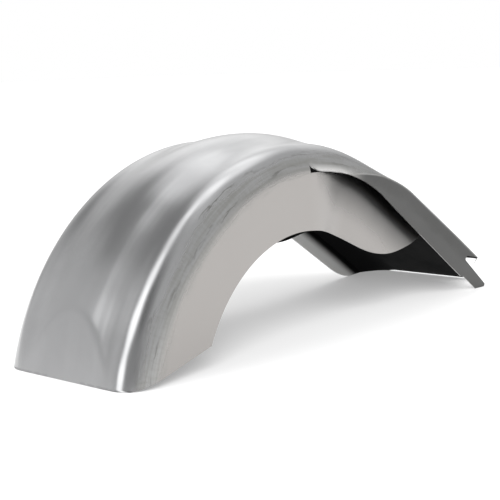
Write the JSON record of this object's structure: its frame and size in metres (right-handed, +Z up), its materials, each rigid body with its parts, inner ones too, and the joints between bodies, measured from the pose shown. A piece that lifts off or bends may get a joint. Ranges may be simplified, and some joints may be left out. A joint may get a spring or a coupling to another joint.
{
  "type": "motorcycle rear fender",
  "caption": "Wide motorcycle rear fender in bare sheet steel: domed arc with rounded shoulders, deep skirts, flat tail panel and a splash-guard front end with tucked inner walls and a forked flange.",
  "frame": {"origin": "middle of the bounding box on the floor the fender stands on", "axes": "+X to the front end of the fender, +Y to the machine's left side, +Z up"},
  "size_m": [0.8094, 0.248, 0.269],
  "materials": {
    "raw_steel": "bare satin sheet steel"
  },
  "bodies": {
    "root": {"fender_shell": "raw_steel"}
  },
  "joints": []
}
